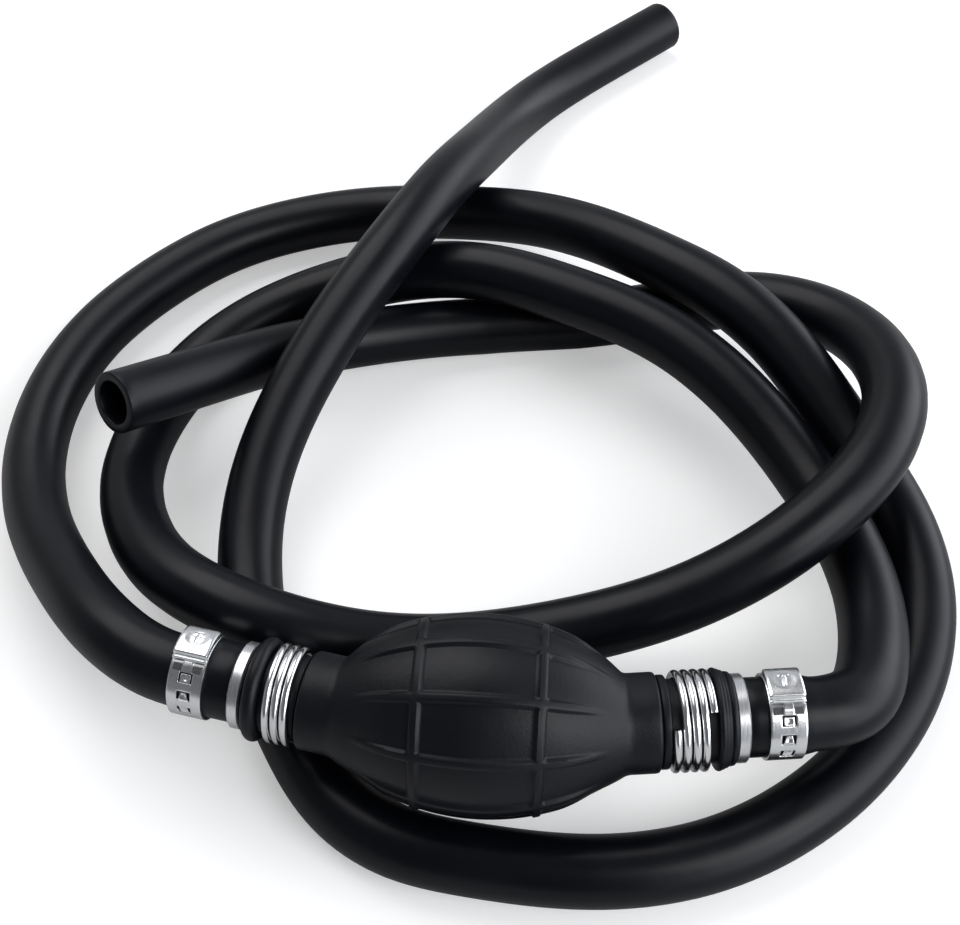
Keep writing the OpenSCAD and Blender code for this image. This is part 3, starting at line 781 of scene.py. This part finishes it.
@dataclass
class Bulb:
    """The squeeze bulb: ribbed belly, collars and necks in one hollow moulding."""

    belly_half: float = 35.0
    belly_r: float = 24.0
    belly_end_r: float = 12.0
    wall: float = 3.0
    rib_count: int = 10
    rib_height: float = 1.0
    rib_half_width: float = 1.2
    rib_turn_deg: float = 22.0
    rib_flank: Span = (-0.45, 0.25)
    rib_narrows_x: float = 18.0
    rib_sinks_x: float = 20.0
    rib_end_x: float = 30.8
    ribbed_x: float = 33.5
    hoop_x: float = 14.5
    collar_r: float = 12.2
    shoulder_r: float = 11.4
    neck_r: float = 10.3
    bead_r: float = 13.0
    bead_width: float = 3.9
    lip_r: float = 11.1
    bore_r: float = 7.3
    bend_start: float = 29.0
    bend_end: float = 37.0
    bend_steps: int = 60
    skin_step: float = 0.55
    skin_end: float = 34.3
    steps: int = 400

    def belly(self, x: float, sunk: float = 0.0) -> float:
        """Radius of the belly, which has arcs for its sides.

        Args:
            x: distance from the middle.
            sunk: how far under the skin.

        Returns:
            The radius there.
        """
        drop = self.belly_r - self.belly_end_r
        arc = (self.belly_half ** 2 + drop ** 2) / (2 * drop)
        return self.belly_r - arc + math.sqrt((arc - sunk) ** 2 - x * x)

    def bead_outline(self, side: Side) -> Outline:
        """Outline past the winding: a full round bead on the inlet, a stepped sleeve on the outlet.

        Args:
            side: which neck.

        Returns:
            Points (x, radius), outwards.
        """
        start = NECKS[side].bead_start
        if side is Side.INLET:
            round_r = self.bead_width / 2
            arc = [math.radians(15 * i) for i in range(13)]
            bead = [(round_r - round_r * math.cos(t), self.bead_r - round_r + round_r * math.sin(t)) for t in arc]
            bead += [(3.95, 10.85), (4.05, 10.85), (4.12, 11.02), (4.25, self.lip_r), (4.5, self.lip_r)]
        else:
            bead = [(0.0, 11.3), (0.08, 11.8), (0.3, 12.2), (0.7, 12.44), (1.1, 12.44), (1.3, 12.3), (1.45, 12.14),
                    (1.6, 12.16), (1.9, 12.14), (2.1, 12.0), (2.25, 11.84), (2.4, 11.86), (2.7, 11.82),
                    (2.95, 11.68), (3.1, 11.3), (3.25, 11.1), (3.4, 11.12), (3.52, 11.36), (3.7, 11.44),
                    (4.1, 11.4), (4.5, 11.3)]
        lip = NECKS[side].neck_end - start
        return [(start + x, r) for x, r in bead + [(lip - 0.06, self.lip_r - 0.08), (lip, self.lip_r - 0.25)]]

    def half_outline(self, side: Side) -> Outline:
        """Outer outline of one half, from the middle to the end of the neck.

        Args:
            side: which half.

        Returns:
            Points (x, radius), outwards.
        """
        skin = [i * self.skin_step for i in range(int(self.skin_end / self.skin_step))] + [self.skin_end]
        out = [(x, self.belly(x)) for x in skin] + [(34.8, 12.36), (35.3, 12.24), (36.0, 12.2)]
        round_off = ((37.5, 0.0), (39.5, 0.0), (41.5, 0.0), (42.0, 0.06), (42.28, 0.22), (42.4, 0.5))
        out += [(x, self.collar_r - drop) for x, drop in round_off]
        out += [(42.44, 11.05), (42.6, 10.9), (42.78, 11.0), (42.84, 11.2), (42.95, self.shoulder_r - 0.06)]
        end = NECKS[side].shoulder_end
        out += [(x, self.shoulder_r) for x in (43.2, 43.7, 44.2) if x < end - 0.4]
        out += [(end - 0.28, self.shoulder_r - 0.08), (end - 0.1, self.shoulder_r - 0.35), (end, 10.8),
                (end + 0.15, self.neck_r)]
        start = NECKS[side].bead_start
        out += [(x, self.neck_r) for x in evenly(end, start, 5)[1:-1]]
        return out + [(start - 0.1, self.neck_r + 0.02)] + self.bead_outline(side)

    def profile(self) -> Outline:
        """Closed profile of the moulding.

        Returns:
            Points (x, radius): outside from end to end, then inside back.
        """
        outside = [(-x, r) for x, r in reversed(self.half_outline(Side.INLET)[1:])]
        outside += self.half_outline(Side.OUTLET)
        inside = [(x, self.bore_r) for x in (50.0, 40.0, 31.5)]
        inside += [(x, self.belly(x, self.wall)) for x in range(28, -1, -4)]
        mouths = [(side.value * NECKS[side].neck_end, self.bore_r) for side in Side]
        return outside + [mouths[1]] + inside + [(-x, r) for x, r in reversed(inside[:-1])] + [mouths[0]]

    def rib_rise(self, x: float, angle_deg: float) -> float:
        """How far the ribs lift the skin at a point.

        Args:
            x: distance from the middle along the bulb.
            angle_deg: angle round the X axis from +Z.

        Returns:
            The rise, in millimetres.
        """
        reach = abs(x)
        spacing = 360.0 / self.rib_count
        off = (angle_deg - self.rib_turn_deg + spacing / 2) % spacing - spacing / 2
        across = abs(math.radians(off)) * self.belly(x)
        edge = self.rib_half_width * (1.0 - 0.35 * wave(self.rib_narrows_x, self.rib_end_x, reach))
        rib = 1.0 - wave(*self.rib_flank, across - edge)
        rib *= 1.0 - wave(self.rib_sinks_x, self.rib_end_x + 0.6, reach)
        hoop = 1.0 - wave(*self.rib_flank, abs(reach - self.hoop_x) - self.rib_half_width)
        return self.rib_height * max(rib, hoop)

    def raise_ribs(self, bulb: Piece) -> None:
        """Lift the ribs out of the skin with a weighted displacement.

        Args:
            bulb: the plain moulding.
        """
        group = bulb.vertex_groups.new(name="ribs")
        for vertex in bulb.data.vertices:
            radius = math.hypot(vertex.co.y, vertex.co.z)
            if abs(vertex.co.x) > self.ribbed_x or radius < self.belly(vertex.co.x) - 0.5:
                continue
            angle = math.degrees(math.atan2(-vertex.co.y, vertex.co.z))
            rise = self.rib_rise(vertex.co.x, angle)
            if rise > 0.001:
                group.add([vertex.index], min(rise / self.rib_height, 1.0), "REPLACE")
        apply_modifier(bulb, "DISPLACE", vertex_group="ribs", strength=self.rib_height, mid_level=0.0,
                       direction="NORMAL")

    def bend_necks(self, bulb: Piece) -> None:
        """Draw both necks aside as their hoses do, with a soft bend at the end of the belly.

        Args:
            bulb: the ribbed moulding.
        """
        for vertex in bulb.data.vertices:
            side = Side.OUTLET if vertex.co.x > 0 else Side.INLET
            reach = abs(vertex.co.x)
            if reach <= self.bend_start:
                continue
            full = math.radians(NECKS[side].bend_deg)
            x, y, angle = self.bend_start, 0.0, 0.0
            span = (reach - self.bend_start) / self.bend_steps
            for i in range(self.bend_steps):
                angle = full * wave(self.bend_start, self.bend_end, self.bend_start + (i + 0.5) * span)
                x += span * math.cos(angle)
                y += span * math.sin(angle)
            angle = full * wave(self.bend_start, self.bend_end, reach)
            off = vertex.co.y
            vertex.co.x = side.value * (x - off * math.sin(angle))
            vertex.co.y = y + off * math.cos(angle)

    def build(self) -> Piece:
        """Turn the moulding, raise its ribs and bend its necks.

        Returns:
            The bulb.
        """
        bulb = turned("bulb_moulding", self.profile(), self.steps)
        self.raise_ribs(bulb)
        self.bend_necks(bulb)
        complete(bulb, Matrix.Scale(MM, 4), 55.0, BULB_SKIN.build())
        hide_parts("bulb", "bulb_crown")
        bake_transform(bulb)
        return bulb


# ---- neck wires


@dataclass
class NeckWire:
    """Bright wire wound round a neck over the spigot."""

    side: Side
    start_x: float
    turns: float
    start_deg: float
    wire_d: float = 2.05
    step: float = 2.3
    coil_r: float = 11.4
    per_turn: int = 90
    over_deg: float = 9.2
    sides: int = 20
    edge: float = 0.12

    def build(self) -> Piece:
        """Wind the wire, with a little over its whole turns at each end, and break the edges of its cuts.

        Returns:
            The wire.
        """
        over = self.over_deg / 360.0
        line = helix(self.start_x - self.step * over, self.step * (self.turns + 2 * over), self.coil_r,
                     self.start_deg - self.over_deg, 360.0 * self.turns + 2 * self.over_deg, self.per_turn)
        wire = drawn(f"{self.side}_wire_winding", line, [self.wire_d / 2] * len(line), self.sides, True)
        break_edges(wire, self.edge, 60.0)
        complete(wire, NECKS[self.side].matrix(mirrored=False), 40.0, WIRE_STEEL.build())
        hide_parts(f"{self.side}_neck_wire")
        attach(wire, "pump")
        return wire


# ---- valve springs


@dataclass
class ValveSpring:
    """Fine return spring between the poppet and its guide."""

    side: Side
    start_x: float
    length: float = 5.8
    wire_d: float = 0.5
    coil_r: float = 1.9
    turns: float = 4.0
    lift: float = 2.0
    gap: float = 0.02
    per_turn: int = 40
    sides: int = 12

    def build(self) -> Piece:
        """Wind the spring between its two faces.

        Returns:
            The spring.
        """
        inset = self.wire_d / 2 + self.gap
        line = helix(self.start_x + inset, self.length - 2 * inset, self.coil_r, 0.0, 360.0 * self.turns,
                     self.per_turn)
        spring = drawn(f"{self.side}_spring_coil", line, [self.wire_d / 2] * len(line), self.sides, True)
        place = NECKS[self.side].matrix(mirrored=False)
        complete(spring, place, 40.0, SPRING_STEEL.build())
        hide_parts(f"{self.side}_valve_spring")
        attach(spring, "pump")
        flow = self.side.value * NECKS[self.side].heading()
        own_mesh(spring)
        return spring


# ---- band clamps


@dataclass
class BandClamp:
    """Screwless band clamp: a strip with windows, and a closing box over its overlap.

    Angles round the hose are in degrees, from the top towards the front.
    """

    side: Side
    width: float = 8.8
    outer_r: float = 10.55
    strip_t: float = 0.8
    box_t: float = 0.6
    tongue_t: float = 0.4
    hook_t: float = 0.36
    patch_t: float = 0.1
    strip_xs: Tuple[float, ...] = (0.0, 0.5, 1.0, 1.6, 2.2, 3.2, 3.8, 4.4, 5.0, 5.6, 6.6, 7.2, 7.8, 8.3, 8.8)
    strip_rows: int = 120
    seam_deg: float = -60.0
    box_rise: float = 1.8
    box_mid_deg: float = -13.0
    box_half_deg: float = 30.0
    lip_rise: float = 0.42
    round_drop: float = 0.22
    dimple_depth: float = 0.24
    dimple_slope: Span = (1.4, 3.4)
    dimple_back: float = 0.3
    mark_rise: float = 0.24
    window_degs: Point = (38.0, 64.0, 90.0)
    window_long: float = 3.4
    window_high: float = 2.6
    tongue_shapes: Tuple[Point, Point, Point] = ((1.3, 1.3, 0.0), (1.4, 0.7, 0.1), (1.1, 1.1, 0.5))
    patch_in: Span = (0.75, 3.15)
    patch_degs: Span = (20.0, 29.5)
    knurl_waves: Span = (9.0, 1.9)
    knurl_rise: float = 0.12

    def window_half(self) -> float:
        """Half of a window's height, in degrees."""
        return math.degrees(self.window_high / 2 / self.outer_r)

    def wrap(self, piece: Piece) -> None:
        """Roll a flat piece round the neck.

        Args:
            piece: flat, with X along the hose, Y in degrees round it and Z above the strip's outer face.
        """
        for vertex in piece.data.vertices:
            angle = math.radians(vertex.co.y)
            radius = self.outer_r + vertex.co.z
            vertex.co = (NECKS[self.side].clamp_start + vertex.co.x, -radius * math.sin(angle),
                         radius * math.cos(angle))

    def thicken(self, piece: Piece, thickness: float) -> None:
        """Turn the faces of a rolled sheet away from the neck, and give it its thickness inwards.

        Args:
            piece: the sheet.
            thickness: how thick it becomes.
        """
        if sum(face.normal.dot(Vector((0, face.center.y, face.center.z))) for face in piece.data.polygons) < 0:
            piece.data.flip_normals()
        apply_modifier(piece, "SOLIDIFY", thickness=thickness, offset=-1.0)

    def rolled(self, piece: Piece, thickness: float, edge: float, over_deg: float = 50.0) -> Piece:
        """Make a flat piece into a rolled and solid one.

        Args:
            piece: the flat piece, as for wrap().
            thickness: how thick it becomes.
            edge: width of the bevels on its edges.
            over_deg: how sharp an edge has to be to get one.

        Returns:
            The piece.
        """
        self.wrap(piece)
        finish_mesh(piece)
        self.thicken(piece, thickness)
        break_edges(piece, edge, over_deg)
        return piece

    def sheet(self, name: str, xs: Sequence[float], degs: Sequence[float]) -> Piece:
        """Flat grid with its lines at the given places.

        Args:
            name: name of the object.
            xs: places of the lines across the strip, in millimetres.
            degs: places of the lines along it, in degrees.

        Returns:
            The grid, at height nought.
        """
        deselect()
        bpy.ops.mesh.primitive_grid_add(x_subdivisions=len(xs) - 1, y_subdivisions=len(degs) - 1, size=2.0)
        piece = named(name)
        for vertex in piece.data.vertices:
            i = round((vertex.co.x + 1) / 2 * (len(xs) - 1))
            j = round((vertex.co.y + 1) / 2 * (len(degs) - 1))
            vertex.co = (xs[i], degs[j], 0.0)
        return piece

    def strip(self) -> Piece:
        """Band with its row of windows cut out.

        Returns:
            The band.
        """
        low = (self.width - self.window_long) / 2
        high = (self.width + self.window_long) / 2
        half = self.window_half()
        degs = evenly(self.seam_deg, self.seam_deg + 360.0, self.strip_rows)
        for mark in sorted({a + s * half for a in self.window_degs for s in (-1, 1)}):
            near = min(range(1, self.strip_rows), key=lambda i: abs(degs[i] - mark))
            degs[near] = mark
        band = self.sheet(f"{self.side}_clamp_strip", sorted((*self.strip_xs, low, high)), degs)
        for part in (*band.data.edges, *band.data.vertices):
            part.select = False
        for face in band.data.polygons:
            x, deg = face.center.xy
            face.select = low < x < high and any(abs(deg - a) < half for a in self.window_degs)
        bpy.ops.object.mode_set(mode="EDIT")
        bpy.ops.mesh.delete(type="FACE")
        bpy.ops.object.mode_set(mode="OBJECT")
        return self.rolled(band, self.strip_t, 0.14)

    def box_height(self, x: float, deg: float) -> float:
        """Height of the closing box's roof above the strip.

        Args:
            x: place across the strip.
            deg: angle from the middle of the box.

        Returns:
            The height of the roof's outer face.
        """
        across = x - self.width / 2
        along = math.radians(deg) * (self.outer_r + self.box_rise)
        half = math.radians(self.box_half_deg) * (self.outer_r + self.box_rise)
        rise = wave(-half - 0.2, -half + 1.7, along) * (1.0 - wave(half - 2.1, half - 1.1, along) * 0.62)
        lip = math.exp(-((along - half + 0.75) / 0.42) ** 2)
        height = self.box_rise * rise * (1.0 - wave(half - 0.5, half + 0.1, along)) + self.lip_rise * lip
        height -= self.round_drop * wave(self.width / 2 - 0.9, self.width / 2, abs(across)) ** 2
        off = along + self.dimple_back
        height -= self.dimple_depth * (1.0 - wave(*self.dimple_slope, math.hypot(across, off)))
        stem = 1.0 - wave(0.1, 0.6, abs(across + 0.12 * off))
        stem *= wave(-1.9, -1.3, off) * (1.0 - wave(1.6, 2.5, off))
        bar = (1.0 - wave(0.2, 0.5, abs(along + 1.75))) * (1.0 - wave(0.9, 1.5, abs(across)))
        return max(height + self.mark_rise * max(stem, bar), 0.02)

    def box(self) -> Piece:
        """Closing box: a roof bridged over the strip, with a round dimple and a forked rib.

        Returns:
            The roof.
        """
        roof = self.sheet(f"{self.side}_clamp_box", evenly(0.1, self.width - 0.1, 72),
                          evenly(-self.box_half_deg, self.box_half_deg, 108))
        for vertex in roof.data.vertices:
            vertex.co.z = self.box_height(vertex.co.x, vertex.co.y)
            vertex.co.y += self.box_mid_deg
        return self.rolled(roof, self.box_t, 0.12, 60.0)

    def tab(self, name: str, degs: Span, rows: int, shape: Callable[[float, float], Span], thickness: float,
            edge: float) -> Piece:
        """Small tab along the strip.

        Args:
            name: name of the object.
            degs: angle of its root and of its tip.
            rows: how many rows of faces it has.
            shape: takes how far across, -1 to 1, and how far along, 0 to 1, a point is, and says where it
                goes across the strip and how high.
            thickness: how thick it becomes.
            edge: width of the bevels on its edges.

        Returns:
            The tab.
        """
        root, tip = degs
        tab = self.sheet(name, evenly(-1.0, 1.0, 6), evenly(root, tip, rows))
        for vertex in tab.data.vertices:
            vertex.co.x, vertex.co.z = shape(vertex.co.x, (vertex.co.y - root) / (tip - root))
        return self.rolled(tab, thickness, edge)

    def tongue(self, number: int) -> Piece:
        """Bent tongue of one window, cut to the shape of its place in the row.

        Args:
            number: which window, from the box down.

        Returns:
            The tongue.
        """
        deg, half = self.window_degs[number], self.window_half()
        wide, narrow, slant = self.tongue_shapes[number]

        def bent(across: float, along: float) -> Span:
            """A tongue that sinks towards its tip, with a dent in its middle."""
            inner = max(abs(across), abs(along - 0.55) * 2.2)
            return (self.width / 2 + across * (wide + (narrow - wide) * along) + slant * (along - 0.4),
                    -0.1 - 0.25 * wave(0.1, 1.0, along) - 0.22 * (1.0 - wave(0.35, 0.6, inner)))

        return self.tab(f"{self.side}_clamp_tongue_{number + 1}", (deg + half + 0.8, deg - half + 2.0),
                        10, bent, self.tongue_t, 0.08)

    def hook(self) -> Piece:
        """Tapered tab that runs from under the box into the first window.

        Returns:
            The tab.
        """
        def tapered(across: float, along: float) -> Span:
            """A tab that widens a little and comes down at its tip."""
            return self.width / 2 + across * (1.15 + 0.3 * along), 0.38 - 0.3 * wave(0.55, 1.0, along)

        degs = (self.box_mid_deg + self.box_half_deg - 3.0, self.window_degs[0] - self.window_half() - 0.6)
        return self.tab(f"{self.side}_clamp_hook", degs, 12, tapered, self.hook_t, 0.1)

    def patches(self) -> Piece:
        """Two knurled grip patches, one on each side of the hook.

        Returns:
            Both patches in one object.
        """
        near, far = self.patch_in
        first, last = self.patch_degs
        halves = []
        for low, high in ((near, far), (self.width - far, self.width - near)):
            patch = self.sheet("patch", evenly(low, high, 24), evenly(first, last, 20))
            for vertex in patch.data.vertices:
                x, deg = vertex.co.x, vertex.co.y
                rim = min(x - low, high - x, math.radians(min(deg - first, last - deg)) * self.outer_r)
                knurl = 0.5 + 0.5 * math.sin(x * self.knurl_waves[0]) * math.sin(deg * self.knurl_waves[1])
                vertex.co.z = 0.03 + self.knurl_rise * knurl * wave(0.0, 0.25, rim)
            self.wrap(patch)
            halves.append(patch)
        pick(halves[0])
        halves[1].select_set(True)
        bpy.ops.object.join()
        patch = named(f"{self.side}_clamp_patches")
        self.thicken(patch, self.patch_t)
        return patch

    def build(self) -> None:
        """Make the clamp's pieces and close it on its hose."""
        steel, knurled = BAND_STEEL.build(), PATCH_STEEL.build()
        band, box, hook, patches = self.strip(), self.box(), self.hook(), self.patches()
        tongues = [self.tongue(number) for number in range(len(self.window_degs))]
        for piece in (band, box, hook, patches, *tongues):
            complete(piece, NECKS[self.side].matrix(), 40.0, knurled if piece is patches else steel)
            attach(piece, "pump")
        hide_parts(f"{self.side}_band_clamp")


# ---- carried-over parts


@dataclass
class CarriedParts:
    """Parts whose CAD shape stays, and only their finish is made here."""

    finishes: Dict[str, Union[Metal, Rubber, MouldedPlastic]] = field(default_factory=lambda: {
        "fitting": FLANGE_METAL,
        "valve_seat": SEAT_BRASS,
        "valve_seal": SEAL_SKIN,
        "valve_poppet": VALVE_PLASTIC,
        "valve_guide": VALVE_PLASTIC,
    })

    def dress(self) -> None:
        """Give every carried part its material."""
        for side in Side:
            for part, finish in self.finishes.items():
                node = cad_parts[f"{side}_{part}"]
                material = finish.build()
                for slot in node.material_slots:
                    slot.material = material
                log.info("%s: carried over", node.name)


# ---- assembly


def main() -> None:
    """Build the scene in order: studio, hoses, bulb and the pieces on its necks."""
    logging.basicConfig(level=logging.INFO, format="%(name)s: %(message)s")
    bpy.context.scene.view_settings.view_transform = "Standard"
    studio = Studio()
    studio.camera()
    Hose(Side.INLET, INLET_ROUTE, 46.0, 0.0, 1.12).build()
    Hose(Side.OUTLET, OUTLET_ROUTE, 228.0, 20.0, 0.97).build()
    Bulb().build()
    NeckWire(Side.INLET, -51.225, 3.0, 200.0).build()
    NeckWire(Side.OUTLET, 45.925, 3.9, 50.0).build()
    ValveSpring(Side.INLET, -49.75).build()
    ValveSpring(Side.OUTLET, 50.32).build()
    for side in Side:
        BandClamp(side).build()
    CarriedParts().dress()
    studio.floor()
    studio.world()
    studio.light()


if __name__ == "__main__":
    main()
